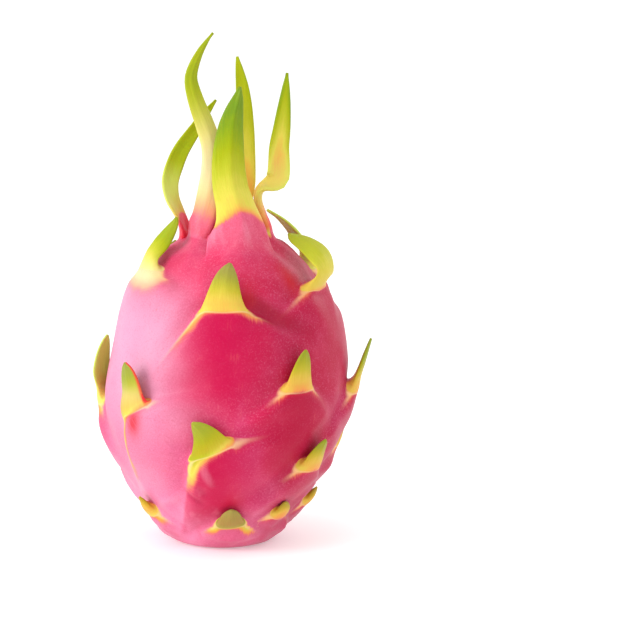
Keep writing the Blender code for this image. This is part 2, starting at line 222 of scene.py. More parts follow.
CROWN = [
    # front blade, with its outer face seen
    Bract(15, 113, 27, 13.9, swell=2.8, flare_length=14.5, flare_power=2.2, cup=0.4, keel=0.35,
          thickness=2.4, fullness=3.6, taper=0.85, stand_off=0.6, slope_left=1.4, slope_right=1.4,
          recess=0.3, melt=1.0, pink_to=12.5, green_from=14, green_to=54, greenest=1.0, red=0.1,
          cream=0.0, blush=0.1, dry=0.0, arch=4.5,
          route=((8.2, -17.6, 123.5), (6.6, -15.8, 131), (4.5, -13.6, 138.5), (3.7, -11.6, 147.7),
                 (4.3, -10.6, 158.5), (5.4, -10, 165), (6.6, -9.6, 170), (7.5, -9.2, 175))),
    # tall pale blade with an S-bend, left of the front blade
    Bract(-60, 119, 12, 8.2, swell=2.6, flare_length=10, fullness=3.0, taper=1.0,
          twist=(45.0, 0.05, 0.4), melt=0.7, slope_left=0.7, slope_right=1.2, pink_to=14, spread=20,
          green_from=34, green_to=64, greenest=0.8, red_reach=13, cream=0.0, milk=1.0, milk_from=27,
          milk_span=15, dry=0.1,
          route=((-7.0, -9.5, 125), (-4.9, -9, 132.9), (-3.2, -7.5, 142), (-3.2, -6.5, 151.6),
                 (-5.6, -6, 159.8), (-8.9, -6, 168.8), (-10.9, -5.5, 176.5), (-10.2, -5.2, 181.5),
                 (-7.8, -4.8, 187.1), (-5.1, -4.2, 191.5), (-2.7, -3.6, 194.6))),
    # left blade, which leans out and then passes behind the tall one
    Bract(-107, 115.5, 10, 7.2, swell=2.5, flare_length=6, cup=0.25, fullness=3.0, taper=0.8, melt=0.6,
          slope_left=0.6, slope_right=0.6, twist=(-62.0, 0.1, 0.6), pink_to=10, green_from=13,
          green_to=34, greenest=0.78, red=1.0, red_reach=13, cream=0.0, milk=0.3, milk_from=18,
          milk_span=5, heart=0.0, dry=0.0, spread=4, bright=0.9, painted_light_to=18,
          route=((-15.3, 2.5, 122), (-17.2, 2.5, 126.5), (-19.3, 2.5, 131.5), (-19.9, 3, 137),
                 (-18.6, 3.5, 142), (-15.3, 4, 149.5), (-10.6, 4.5, 156.5), (-6.6, 4.5, 162.5),
                 (-2.0, 4.5, 168.5))),
    # back blade
    Bract(158, 119, 11, 8.8, swell=2.5, flare_length=8, fullness=2.6, taper=0.7, melt=0.6,
          slope_left=0.8, slope_right=0.8, pink_to=6, green_from=14, green_to=58, greenest=0.8, red=0.8,
          cream=0.0, heart=0.1, dry=0.0,
          route=((6.5, 12, 127), (8.2, 10.5, 136), (8.6, 9.5, 147), (8.6, 9, 161), (8, 8.5, 172),
                 (6, 7.5, 184.6))),
    # right blade, kinked, with its inner face turned to the front
    Bract(88, 119, 9, 9.0, swell=2.5, flare_length=6, fullness=2.6, taper=0.8, melt=0.6, thickness=3.0,
          slope_left=0.8, slope_right=0.8, twist=(85.0, 0.26, 0.44), green_from=20, green_to=56,
          greenest=0.95, red=1.0, red_reach=13, cream=0.0, heart=0.1, dry=0.0, arch=12.0, bright=0.4,
          painted_light_to=24,
          route=((15.2, 0.5, 126), (13.8, 0.8, 131), (14.8, 0.8, 135), (18.9, 1.2, 137),
                 (21, 1.5, 138.6), (21.6, 2, 141.5), (21.7, 2, 145), (21.8, 2, 151), (22.8, 2, 158),
                 (24, 2, 169), (24.9, 2, 179))),
    # short blade at the back left
    Bract(-153, 119, 9, 7, swell=2.5, flare_length=6, fullness=2.4, taper=0.7, melt=0.6, slope_left=0.8,
          slope_right=0.8, pink_to=8, green_from=12, green_to=30, greenest=0.8, red=0.6, cream=0.0,
          route=((-4.4, 12.8, 127), (-2.4, 11.5, 136), (-0.4, 11.5, 146), (1.5, 12.5, 154))),
]

SHOULDER = [
    # left shoulder, hooked over the neck
    Bract(-71, 105.5, 16, 7.2, slope_left=0.8, slope_right=0.35, fullness=2.8, twist=(28.0, 0.15, 0.6),
          melt=0.8, pink_to=-3, green_from=0, green_to=15, greenest=0.82, red=0.05, leg_left=9,
          blush=0.0, milk=0.9, milk_from=-3, milk_span=6, dry=0.2, shade=0.3,
          route=((-26.6, -10.8, 111.3), (-23.2, -9.9, 115.2), (-20.0, -9, 119.4), (-17.4, -8.2, 123.4),
                 (-16.6, -8, 125.6))),
    # front of the shoulder
    Bract(-2, 94.5, 20, 11.5, length=16.5, lean=0.36, slope_left=1.3, slope_right=0.5, swell=4.2,
          fullness=2.6, taper=0.75, bend=2.4, recess=2.8, recess_left=0.3, pink_to=-2.5, green_from=0,
          green_to=16, greenest=0.8, red=0.3, leg_left=15, leg_right=6, blush=1.0, dry=1.0, arch=2.5,
          stain=0.6, stain_and_shade_across=8.5, stain_and_shade_up=5.5, shade=1.3),
    # broad blade at the right shoulder, curled inward
    Bract(64, 100, 18, 12, slope_left=0.6, slope_right=0.8, swell=4.0, fullness=3.0,
          twist=(-40.0, 0.1, 0.6), green_from=0, green_to=34, greenest=0.75, red=0.2, leg_left=8,
          dry=0.2, stain=0.8, stain_and_shade_across=-10.5, stain_and_shade_up=4.5,
          route=((39.6, -17, 105), (39.4, -16, 109), (36.6, -14.5, 113.2), (32, -12.5, 116.4),
                 (28, -10.5, 118.2), (25.4, -8.5, 119.3))),
    # slim blade behind it, whose inner face is seen
    Bract(124, 102, 14, 9, slope_left=0.7, slope_right=0.7, fullness=2.6, pink_to=-2, green_from=0,
          green_to=20, greenest=0.7, red=0.2, heart=0.0, dry=0.0, bright=0.5,
          route=((33.2, 20.8, 107), (31, 18.8, 111.3), (27.6, 15.7, 116.4), (25, 13.2, 119.7),
                 (21.8, 11.2, 122.8), (17.2, 9, 125.9))),
]

MIDDLE = [
    # left side, close to the skin
    Bract(-100, 53, 14, 9, length=25, lean=0.2, curl=-0.3, fullness=3.0, pink_to=-3, green_to=10,
          twist=(-30.0, 0.1, 0.5), heart=0.0, dry=0.0, greenest=0.95, bright=0.75),
    Bract(-43, 57.5, 14, 9.5, length=18.5, lean=0.14, slope_left=4.5, slope_right=0.15, tilt=0.45,
          fullness=3.2, bend=-2.0, pink_to=-2, slant=3.5, green_from=-6, green_to=15, greenest=0.9,
          red=0.3, red_right=1.0, leg_left=20, leg_right=3, blush=0.1, milk=0.35, milk_from=6,
          milk_span=4, dry=0.6, stain=1.0, stain_and_shade_across=1.0, stain_and_shade_up=-4.5, shade=0.2),
    Bract(36, 66, 15, 9, length=15, lean=0.2, blush=0.9),
]

LOW = [
    Bract(-4, 44.5, 17, 13, length=13, lean=0.2, bend=-7.0, tilt=0.4, slope_left=5.0, slope_right=0.25,
          swell=4.2, fullness=1.5, pink_to=-1.5, slant=4.0, green_from=-9, green_to=8, greenest=0.8,
          red=0.2, leg_left=9, leg_right=7, blush=1.0, dry=0.4, arch=1.5, melt=0.6),
    Bract(-59, 15, 9, 6, length=7.5, lean=0.1, swell=2.0, red=0.5, pink_to=-3, green_to=7, dry=0.0),
]

BOTTOM = [
    Bract(7, 13, 11, 8, length=9, lean=0.1, swell=2.4, fullness=3.0, pink_to=-3, greenest=0.8,
          green_from=-4, green_to=3, red=0.2, dry=1.0, dry_from=-0.3, stain=0.5, stain_and_shade_up=8.0),
]


# Creases of the skin, which taper to both ends: how far they lift the skin (below zero they sink it),
# half width, and the places they pass, as azimuth in degrees and height
CREASES = [
    (0.6, 1.7, ((-10, 43), (-7, 37), (-3, 29))),
    (-0.7, 1.3, ((-23, 28), (-15, 24.5), (-8, 20.5))),
    (0.5, 1.8, ((-50, 17), (-38, 20.5), (-28, 22.5), (-20, 27))),
    (0.6, 2.2, ((48, 114), (54, 108), (60, 102))),
    (-0.4, 1.4, ((-12, 33), (-9, 28), (-7, 24))),
]


def ease(value):
    """Smooth step from 0 to 1."""
    value = np.clip(value, 0.0, 1.0)
    return value * value * (3.0 - 2.0 * value)


def mix(start, end, share):
    return start + (end - start) * share


def smooth_curve(points, pieces):
    """A Catmull-Rom curve through the points, with the given number of pieces between two of them."""
    knots = [Vector(point) for point in points]
    knots = [knots[0] * 2.0 - knots[1], *knots, knots[-1] * 2.0 - knots[-2]]
    curve = [knots[1]]
    for before, start, end, after in zip(knots, knots[1:], knots[2:], knots[3:]):
        for piece in range(1, pieces + 1):
            t = piece / pieces
            curve.append(0.5 * (
                start * 2.0
                + (end - before) * t
                + (before * 2.0 - start * 5.0 + end * 4.0 - after) * t ** 2
                + (start * 3.0 - before - end * 3.0 + after) * t ** 3))
    return curve


class Line:
    """A polyline in space that is read by the distance along it."""

    def __init__(self, points):
        self.points = [Vector(point) for point in points]
        self.marks = [0.0]
        for start, end in zip(self.points, self.points[1:]):
            self.marks.append(self.marks[-1] + (end - start).length)

    @property
    def length(self):
        return self.marks[-1]

    def at(self, distance):
        index = bisect.bisect_right(self.marks, distance) - 1
        index = min(max(index, 0), len(self.points) - 2)
        share = (distance - self.marks[index]) / (self.marks[index + 1] - self.marks[index])
        return self.points[index].lerp(self.points[index + 1], share)

    def tangent(self, distance):
        half = min(PROBE, self.length / 4.0)
        ahead = self.at(min(distance + half, self.length))
        return (ahead - self.at(max(distance - half, 0.0))).normalized()


def unit(vectors):
    return vectors / np.linalg.norm(vectors, axis=-1, keepdims=True)


class Body:
    """The turned body: its profile from the centre of the flat spot to the centre of the navel."""

    def __init__(self):
        side = [tuple(point) for point in smooth_curve(OUTLINE, OUTLINE_PIECES)]
        self.profile = np.array([*FOOT, *side, *NAVEL])
        steps = np.linalg.norm(np.diff(self.profile, axis=0), axis=1)
        self.marks = np.concatenate(([0.0], np.cumsum(steps)))
        self.rim = self.marks[len(FOOT)]
        self.neck = self.marks[len(FOOT) + len(side) - 1]
        side_rows = np.linspace(self.rim, self.neck, SIDE_ROWS + 1)
        self.rows = np.concatenate((self.marks[:len(FOOT)], side_rows, self.marks[-len(NAVEL):]))

    def radius(self, arc):
        return np.interp(arc, self.marks, self.profile[:, 0])

    def height(self, arc):
        return np.interp(arc, self.marks, self.profile[:, 1])

    def arc_at(self, height):
        """Distance along the profile at which the side of the body reaches a height."""
        side = (self.marks >= self.rim) & (self.marks <= self.neck)
        return float(np.interp(height, self.profile[side, 1], self.marks[side]))

    def bare_point(self, azimuth, arc):
        """Points of the skin without any mound."""
        radius = self.radius(arc)
        height = self.height(arc)
        fade = ease((arc - self.rim) / LUMP_FADE) * ease((self.neck - arc) / LUMP_FADE)
        lump = np.sin(3.0 * azimuth + height / 17.0) + 0.7 * np.sin(5.0 * azimuth - height / 11.0)
        radius = radius + LUMP * lump * fade
        lean = LEAN_TO_RIGHT * ease((height - LEAN_FROM_HEIGHT) / (LEAN_TO_HEIGHT - LEAN_FROM_HEIGHT))
        return np.stack((lean + radius * np.sin(azimuth), -radius * np.cos(azimuth), height), axis=-1)

    def directions(self, azimuth, arc):
        """Unit vectors across (towards a larger azimuth), up the profile, and out of the skin."""
        turn = PROBE / np.maximum(self.radius(arc), PROBE)
        across = unit(self.bare_point(azimuth + turn, arc) - self.bare_point(azimuth - turn, arc))
        up = unit(self.bare_point(azimuth, arc + PROBE) - self.bare_point(azimuth, arc - PROBE))
        return across, up, unit(np.cross(across, up))


def beyond_base(bract, across):
    """How far a place lies outside the flat middle of a bract's margin."""
    return np.maximum(np.abs(across) - MARGIN_START * bract.base, 0.0)


def margin_height(bract, across):
    """How far a bract's margin, which runs down beside the blade, is below its middle."""
    slope = np.where(np.asarray(across) < 0.0, bract.slope_left, bract.slope_right)
    return -slope * beyond_base(bract, across)


def margin_of(bract, across, up):
    """How far places of the skin are below a bract's margin, and how far along it from the blade.

    The margin is flat below the blade and runs down on both sides of it, like a roof.
    """
    below = -up
    path = np.zeros_like(up)
    start = MARGIN_START * bract.base
    for side, slope in ((-1.0, bract.slope_left), (1.0, bract.slope_right)):
        outward = side * across - start
        length = math.hypot(slope, 1.0)
        distance = -(slope * outward + up) / length
        path = np.where(distance < below, np.maximum((outward - slope * up) / length, 0.0), path)
        below = np.minimum(below, distance)
    return below, path


def mound(bract, across, up, below, path):
    """Height of a bract's mound, and depth of the pocket between blade and skin, at places of the skin."""
    fade = np.exp(-(beyond_base(bract, across) / MOUND_REACH) ** 2)
    edge = EDGE * (1.0 + path / SOFTER_AFTER)
    raised = bract.swell * ease(below / edge + 0.5) * fade * (1.0 - ease(-up / MOUND_LENGTH))
    pocket = fade * ease(0.5 - below / edge) * (1.0 - ease(-below / POCKET_LENGTH))
    return raised, pocket


def crease_at(azimuth, height, radius):
    """How far the creases lift or sink places of the skin."""
    total = np.zeros_like(height)
    for lift, half_width, places in CREASES:
        value = np.zeros_like(height)
        stretches = list(zip(places, places[1:]))
        for number, ((turn, low), (next_turn, next_low)) in enumerate(stretches):
            x = ((azimuth - math.radians(turn) + math.pi) % TURN - math.pi) * radius
            y = height - low
            dx = math.radians(next_turn - turn) * radius
            dy = next_low - low
            share = np.clip((x * dx + y * dy) / np.maximum(dx * dx + dy * dy, 0.01), 0.0, 1.0)
            distance = np.hypot(x - share * dx, y - share * dy)
            along = (number + share) / len(stretches)
            value = np.maximum(value, np.exp(-(distance / half_width) ** 2) * 4.0 * along * (1.0 - along))
        total += lift * value
    return total


class Block:
    """The grid cells that a bract grows from."""

    def __init__(self, body, bract):
        self.body = body
        self.bract = bract
        self.azimuth = math.radians(bract.azimuth)
        self.arc = body.arc_at(bract.height)
        self.radius = float(body.radius(self.arc))
        column_angle = TURN / COLUMNS
        self.columns = max(LEAST_CELLS, round(bract.base / (self.radius * column_angle)))
        side_row = (body.neck - body.rim) / SIDE_ROWS
        self.rows = max(2, round(ROOT_THICKNESS / side_row))
        self.first_column = round(self.azimuth / column_angle - self.columns / 2.0)
        row = bisect.bisect_right(body.rows, self.arc) - 1
        share = (self.arc - body.rows[row]) / (body.rows[row + 1] - body.rows[row])
        self.first_row = round(row + share - self.rows / 2.0)

    def target(self, i, j):
        """Azimuth and distance along the profile where the bract needs the block's corner."""
        across = (i / self.columns - 0.5) * self.bract.base
        droop = np.maximum(margin_height(self.bract, across), -MOST_DROOP)
        side = 2.0 * i / self.columns - 1.0
        thick = mix(ROOT_END, ROOT_THICKNESS, np.sqrt(np.maximum(1.0 - side * side, 0.0)))
        up = (j / self.rows - 0.5) * thick + droop + self.bract.tilt * across
        return self.azimuth + across / self.radius, self.arc + up

    def gap(self, columns, rows):
        """Nearest corner of the block to each grid point, and the distance to it over the skin."""
        i = (columns - self.first_column + COLUMNS // 2) % COLUMNS - COLUMNS // 2
        near_i = np.clip(i, 0, self.columns)
        near_row = np.clip(rows, self.first_row, self.first_row + self.rows)
        arc = self.body.rows[rows]
        gap_across = (i - near_i) * TURN / COLUMNS * self.body.radius(arc)
        gap_up = arc - self.body.rows[near_row]
        return near_i, near_row, np.hypot(gap_across, gap_up)

    def pull(self, columns, rows):
        """Shift of grid points that follows the nearest corner of the block, fading with distance."""
        near_i, near_row, gap = self.gap(columns, rows)
        weight = 1.0 - ease(gap / SPREAD)
        azimuth, arc = self.target(near_i, near_row - self.first_row)
        rest = TURN * (self.first_column + near_i) / COLUMNS
        return (azimuth - rest) * weight, (arc - self.body.rows[near_row]) * weight

    def rim(self):
        """The block's outer corners, once round, counter-clockwise as seen from outside."""
        n, m = self.columns, self.rows
        yield from ((i, 0) for i in range(n))
        yield from ((n, j) for j in range(m))
        yield from ((i, m) for i in range(n, 0, -1))
        yield from ((0, j) for j in range(m, 0, -1))


def spine_of(block, root, across, up, out):
    """The line along which a bract grows, from the middle of its block to its tip."""
    bract = block.bract
    if bract.route:
        return Line(smooth_curve([root, root + out * bract.stand_off, *bract.route], ROUTE_PIECES))
    points = []
    for index in range(SPINE_PIECES + 1):
        q = index / SPINE_PIECES
        rise = bract.length * q
        stand = bract.stand_off * (1.0 - math.exp(-rise / STAND_OFF_LENGTH))
        stand += bract.length * (bract.lean * q + bract.curl * q ** 2)
        points.append(root + out * stand + up * rise + across * (bract.bend * q ** 2))
    return Line(points)


def blade_width(bract, distance, share):
    flare = (bract.base - bract.blade) * math.exp(-(distance / bract.flare_length) ** bract.flare_power)
    narrowed = bract.blade * (1.0 - share ** bract.fullness) ** bract.taper
    return max(narrowed, TIP_WIDTH) + flare * (1.0 - share)


def blade_thickness(bract, distance, share):
    thick = bract.thickness + (ROOT_THICKNESS - bract.thickness) * math.exp(-distance / STAND_OFF_LENGTH)
    return mix(thick, TIP_THICKNESS, share ** 2)


def tone_at(bract, rise, side):
    """0 on pink skin, 0.3 on the yellow of a bract's base, up to 1 on its greenest part.

    The pink reaches higher in the middle of the blade than at its sides, -1 and 1, and higher on
    the right of a slanted one.
    """
    side = np.clip(side, -1.0, 1.0)
    rise = rise - bract.arch * (1.0 - side * side) - bract.slant * side
    yellow = YELLOW * ease((rise - bract.pink_to) / bract.spread + 0.5)
    span = bract.green_to - bract.green_from
    return yellow + (bract.greenest - YELLOW) * ease((rise - bract.green_from) / span)


def milk_at(bract, rise):
    """Share of the milky yellow that some blades have low down."""
    return bract.milk * np.exp(-((rise - bract.milk_from) / bract.milk_span) ** 2)


class Fruit:
    """Points, faces and what the finish reads at each point, gathered as the fruit is built."""

    READINGS = (
        "tone", "red", "margin", "leg", "recess", "rise", "aside", "root", "milk", "blush", "dry", "blade",
        "stain", "bright", "crease")

    def __init__(self):
        self.points = []
        self.faces = []
        self.readings = {name: [] for name in self.READINGS}

    def add(self, points, **readings):
        """Add points, with one value or a list of values for each reading, and return their numbers."""
        first = len(self.points)
        self.points.extend(points)
        for name in self.READINGS:
            values = np.broadcast_to(readings.get(name, 0.0), len(points))
            self.readings[name].extend(values.tolist())
        return list(range(first, len(self.points)))


def grow_skin(fruit, body, blocks):
    """The skin's points, as rows of point numbers from the foot's centre to the navel's centre."""
    last = len(body.rows) - 1
    rows, columns = np.meshgrid(np.arange(last + 1), np.arange(COLUMNS), indexing="ij")
    azimuth = TURN * columns / COLUMNS
    arc = body.rows[rows].copy()
    side = (arc > body.rim) & (arc < body.neck)
    shift_azimuth = np.zeros_like(arc)
    shift_arc = np.zeros_like(arc)
    root = np.zeros_like(arc)
    for block in blocks:
        turn, rise = block.pull(columns, rows)
        shift_azimuth += turn
        shift_arc += rise
        gap = block.gap(columns, rows)[2]
        melt = block.bract.melt
        root = np.maximum(root, melt * np.exp(-(gap / (ROOT_REACH + ROOT_REACH * melt)) ** 2))
    azimuth = azimuth + np.where(side, shift_azimuth, 0.0)
    arc = np.where(side, np.clip(arc + shift_arc, body.rim, body.neck), arc)
    for block in blocks:
        for i in range(block.columns + 1):
            for j in range(block.rows + 1):
                place = (block.first_row + j, (block.first_column + i) % COLUMNS)
                azimuth[place], arc[place] = block.target(i, j)

    radius = body.radius(arc)
    fade = ease((arc - body.rim) / LUMP_FADE) * ease((body.neck - arc) / NECK_FADE)
    raised = np.zeros_like(arc)
    pocket = np.zeros_like(arc)
    hollow = np.zeros_like(arc)
    shaded = np.zeros_like(arc)
    tone = np.zeros_like(arc)
    margin = np.full_like(arc, NO_MARGIN)
    leg = np.zeros_like(arc)
    red = np.zeros_like(arc)
    nearness = np.zeros_like(arc)
    milk = np.zeros_like(arc)
    blush = np.zeros_like(arc)
    stain = np.zeros_like(arc)
    for block in blocks:
        bract = block.bract
        turn = (azimuth - block.azimuth + math.pi) % TURN - math.pi
        across = turn * radius
        up = arc - block.arc - bract.tilt * across
        below, path = margin_of(bract, across, up)
        height, share = mound(bract, across, up, below, path)
        raised += height ** MERGE_POWER
        pocket = np.maximum(pocket, share)
        depth = share * bract.recess * mix(bract.recess_left, 1.0, ease(across / bract.base + 0.5))
        hollow = np.maximum(hollow, depth)
        # The hollow's depth, scaled by the bract's shade, is also kept as painted shade for the finish.
        shaded = np.maximum(shaded, depth * bract.shade)
        reach = np.where(across < 0.0, bract.leg_left, bract.leg_right)
        along = np.exp(-(path / reach) ** 2)
        tone = np.maximum(tone, tone_at(bract, -below, 2.0 * across / bract.base) * along * ease(below + 0.5))
        milky = milk_at(bract, -below) * np.exp(-(path / MILK_PATH) ** 2)
        milk = np.maximum(milk, milky * ease(below + 0.5))
        away = np.exp(-(across / (BLUSH_WIDTH * bract.base)) ** 2)
        away = away * (1.0 - ease((-up - BLUSH_SPAN) / BLUSH_FADE))
        blush = np.maximum(blush, bract.blush * ease(below / 1.6 + 0.3) * away)
        # Dark red patch, partly stain and partly painted shade, beside some blades
        beside = (across - bract.stain_and_shade_across) / STAIN_AND_SHADE_WIDTH
        above = (up - bract.stain_and_shade_up) / STAIN_AND_SHADE_HEIGHT
        stain = np.maximum(stain, bract.stain * np.exp(-(beside ** 2 + above ** 2)))
        close = np.exp(-np.abs(below) / 4.0) * along
        nearer = close > nearness
        nearness = np.where(nearer, close, nearness)
        margin = np.where(nearer, below, margin)
        leg = np.where(nearer, bract.cream * along * (1.0 - ease((np.abs(below) - 2.0) / 2.5)), leg)
        red = np.where(nearer, bract.red, red)
    raised = raised ** (1.0 / MERGE_POWER) * (1.0 - POCKET_DEPTH * pocket)
    out = body.directions(azimuth, arc)[2]
    crease = crease_at(azimuth, body.height(arc), radius)
    offset = (raised - hollow + crease) * fade
    points = body.bare_point(azimuth, arc)
    points[1:-1] += out[1:-1] * offset[1:-1, :, None]

    readings = dict(
        tone=tone, red=red, margin=margin, leg=leg, recess=shaded * fade, rise=arc, aside=azimuth * radius,
        root=root, milk=milk, blush=blush, stain=stain, crease=crease)
    flat = {name: value[1:-1].ravel() for name, value in readings.items()}
    ends = [{name: value[row, 0] for name, value in readings.items()} for row in (0, -1)]
    foot = fruit.add([points[0, 0]], **ends[0])
    between = fruit.add(list(points[1:-1].reshape(-1, 3)), **flat)
    navel = fruit.add([points[-1, 0]], **ends[1])
    grid = np.array(between).reshape(last - 1, COLUMNS)
    numbers = np.vstack([np.full(COLUMNS, foot[0]), grid, np.full(COLUMNS, navel[0])])

    taken = np.zeros((last, COLUMNS), bool)
    for block in blocks:
        for i in range(block.columns):
            taken[block.first_row:block.first_row + block.rows, (block.first_column + i) % COLUMNS] = True
    for row in range(last):
        for column in range(COLUMNS):
            if taken[row, column]:
                continue
            beside = (column + 1) % COLUMNS
            places = ((row, column), (row, beside), (row + 1, beside), (row + 1, column))
            corners = [numbers[place] for place in places]
            fruit.faces.append(list(dict.fromkeys(int(corner) for corner in corners)))
    return numbers


def grow_blade(fruit, block, numbers):
    """Lay rings of points along a bract's spine, from the edge of its block to a small closed tip."""
    bract = block.bract
    azimuth = np.array(block.azimuth)
    across, up, out = (Vector(way) for way in block.body.directions(azimuth, np.array(block.arc)))

    def skin_number(i, j):
        return int(numbers[block.first_row + j, (block.first_column + i) % COLUMNS])

    rim = list(block.rim())
    every = [(i, j) for i in range(block.columns + 1) for j in range(block.rows + 1)]
    root = Vector(np.mean([fruit.points[skin_number(i, j)] for i, j in every], axis=0))
    spine = spine_of(block, root, across, up, out)
    inside = [corner for corner in every if corner not in set(rim)]
    previous = [skin_number(i, j) for i, j in rim]
    rings = max(LEAST_RINGS, round(spine.length / RING_LENGTH))
    tangent = out
    angle = 0.0
    for step in range(1, rings + 1):
        share = (step / rings) ** CROWDING
        distance = share * spine.length
        centre = spine.at(distance)
        ahead = spine.tangent(distance)
        across = tangent.rotation_difference(ahead) @ across
        twist, twist_from, twist_to = bract.twist
        turned = math.radians(twist) * float(ease((share - twist_from) / (twist_to - twist_from)))
        across = Quaternion(ahead, turned - angle) @ across
        angle = turned
        tangent = ahead
        inward = up.lerp(tangent.cross(across), float(ease(distance / TURN_LENGTH))).normalized()
        along = across.cross(inward)
        half_width = blade_width(bract, distance, share) / 2.0
        thick = blade_thickness(bract, distance, share)
        blend = float(ease(distance / BLEND_LENGTH))
        corners = rim + inside if step == rings else rim
        points = []
        sides = []
        depths = []
        for i, j in corners:
            offset = Vector(fruit.points[skin_number(i, j)]) - root
            s = 2.0 * i / block.columns - 1.0
            d = 2.0 * j / block.rows - 1.0
            local = mix(EDGE_THICKNESS, thick, math.sqrt(1.0 - s * s)) / 2.0
            keel = bract.keel * float(ease(1.0 - abs(s) * 2.0)) * (1.0 - d) / 2.0
            cupped = d * local - keel + bract.cup * half_width * abs(s) ** CUP_POWER
            rounded = EDGE_ROUNDING * EDGE_THICKNESS * (1.0 - d * d) * s * abs(s) ** 3
            x = half_width * s + rounded
            y = mix(offset.dot(up), cupped, blend)
            z = mix(offset.dot(out), 0.0, blend)
            points.append(np.array(centre + across * x + inward * y + along * z))
            sides.append(s)
            depths.append((d + 1.0) / 2.0)
        sides = np.array(sides)
        inner = np.array(depths)
        tone = tone_at(bract, distance, sides)
        tone = tone - inner * (1.0 - sides ** 2) * bract.heart * ease(tone * 3.0)
        red = bract.red * math.exp(-(distance / bract.red_reach) ** 2) + bract.red_right * (sides > RED_EDGE)
        # Painted light: lighter green on a blade in shade, fading beyond the given distance
        bright = bract.bright * float(1.0 - ease((distance - bract.painted_light_to) / PAINTED_LIGHT_FADE))
        ring = fruit.add(
            points, tone=tone, red=np.broadcast_to(red, len(points)), margin=-distance,
            leg=bract.cream * np.abs(sides), rise=distance, aside=sides * half_width, blade=1.0,
            milk=milk_at(bract, distance), bright=bright,
            dry=bract.dry * float(ease((share - bract.dry_from) / DRY_SPAN)),
            root=bract.melt * math.exp(-(distance / ROOT_SPAN) ** 2) * (1.0 - 0.8 * inner))
        count = len(rim)
        for k in range(count):
            beside = (k + 1) % count
            fruit.faces.append([previous[k], previous[beside], ring[beside], ring[k]])
        previous = ring[:count]
        if step == rings:
            places = dict(zip(corners, ring))
            for i in range(block.columns):
                for j in range(block.rows):
                    around = ((i, j), (i + 1, j), (i + 1, j + 1), (i, j + 1))
                    fruit.faces.append([places[corner] for corner in around])


def soften(points, faces, weight):
    """Average each point with its neighbours, as far as its weight lets it."""
    pairs = np.array([pair for face in faces for pair in zip(face, [*face[1:], face[0]])])
    ends = np.concatenate((pairs[:, 0], pairs[:, 1]))
    others = np.concatenate((pairs[:, 1], pairs[:, 0]))
    count = np.maximum(np.bincount(ends, minlength=len(points)), 1)
    for _ in range(SOFTENING_ROUNDS):
        mean = np.stack([np.bincount(ends, weights=points[others, axis], minlength=len(points)) / count
                         for axis in range(3)], axis=1)
        points = points + (mean - points) * (SOFTENING * weight)[:, None]
    return points


def hidden_ring(draw, height, azimuths, length, lean, **shape):
    """Bracts round the other sides that continue a ring of the front, each a little different."""
    return [
        Bract(azimuth + draw.uniform(-3.0, 3.0), height + draw.uniform(-2.5, 2.5),
              length=length * draw.uniform(0.85, 1.15), lean=lean * draw.uniform(0.7, 1.3),
              bend=draw.uniform(-2.0, 2.0), slope_left=draw.uniform(0.6, 1.2),
              slope_right=draw.uniform(0.6, 1.2), **shape)
        for azimuth in azimuths]


def all_bracts():
    """Every bract of the fruit, from the crown down."""
    draw = random.Random(SEED)
    return [
        *CROWN,
        *SHOULDER,
        *hidden_ring(draw, 97, (165, -132), 19, 0.3, base=15, blade=9, curl=-0.2),
        *MIDDLE,
        *hidden_ring(draw, 61, (88, 134, 180, -142), 19, 0.2, base=14, blade=9.5),
        *LOW,
        *hidden_ring(draw, 34, (50, 108, 158, -160, -118), 14, 0.15, base=14, blade=9.5, green_to=10),
        *BOTTOM,
        *hidden_ring(draw, 18, (42, 85, 133, -175, -108), 7, 0.05, base=9, blade=6, swell=2.0, green_to=6),
    ]


class Value:
    """A socket that Python's operators work on: each adds its Math node to the tree."""

    def __init__(self, graph, socket):
        self.graph = graph
        self.socket = socket

    def __add__(self, other):
        return self.graph.math("ADD", self, other)

    def __sub__(self, other):
        return self.graph.math("SUBTRACT", self, other)

    def __rsub__(self, other):
        return self.graph.math("SUBTRACT", other, self)

    def __mul__(self, other):
        return self.graph.math("MULTIPLY", self, other)

    __radd__ = __add__
    __rmul__ = __mul__


class Graph:
    """The nodes of a shader or a Geometry Nodes tree."""

    def __init__(self, tree):
        self.tree = tree

    def node(self, kind, settings=None, inputs=None, output=0):
        """Any node: its settings first, then the values or links of its sockets."""
        node = self.tree.nodes.new(kind)
        for name, value in (settings or {}).items():
            if name == "stops":
                self.set_stops(node.color_ramp, value)
            else:
                setattr(node, name, value)
        for name, value in (inputs or {}).items():
            if isinstance(value, Value):
                self.tree.links.new(value.socket, node.inputs[name])
            else:
                node.inputs[name].default_value = value
        return Value(self, node.outputs[output]) if node.outputs else node

    def set_stops(self, ramp, stops):
        while len(ramp.elements) < len(stops):
            ramp.elements.new(0.5)
        for element, (position, colour) in zip(ramp.elements, stops):
            element.position = position
            element.color = colour

    def math(self, operation, first, second=0.0, clamp=False):
        settings = {"operation": operation, "use_clamp": clamp}
        return self.node("ShaderNodeMath", settings, {0: first, 1: second})

    def smooth(self, value, start, end):
        """0 at start, 1 at end, and smooth between."""
        return self.node("ShaderNodeMapRange", {"interpolation_type": "SMOOTHSTEP"},
                         {"Value": value, "From Min": start, "From Max": end})

    def reading(self, name):
        return self.node("ShaderNodeAttribute", {"attribute_name": name}, output=2)

    def blend(self, share, first, second):
        """Colour first where share is 0 and second where it is 1."""
        return self.node("ShaderNodeMix", {"data_type": "RGBA"}, {0: share, 6: first, 7: second}, output=2)

    def noise(self, place, scale, detail=3.0, roughness=0.5):
        return self.node("ShaderNodeTexNoise", None,
                         {"Vector": place, "Scale": scale, "Detail": detail, "Roughness": roughness})

    def fold_pattern(self, place):
        """Noise that is drawn out up and down the fruit, for the folds of its skin."""
        drawn = self.node("ShaderNodeVectorMath", {"operation": "MULTIPLY"}, {0: place, 1: (1.0, 1.0, 0.14)})
        return self.noise(drawn, FOLDS_PER_METRE, 2.0)


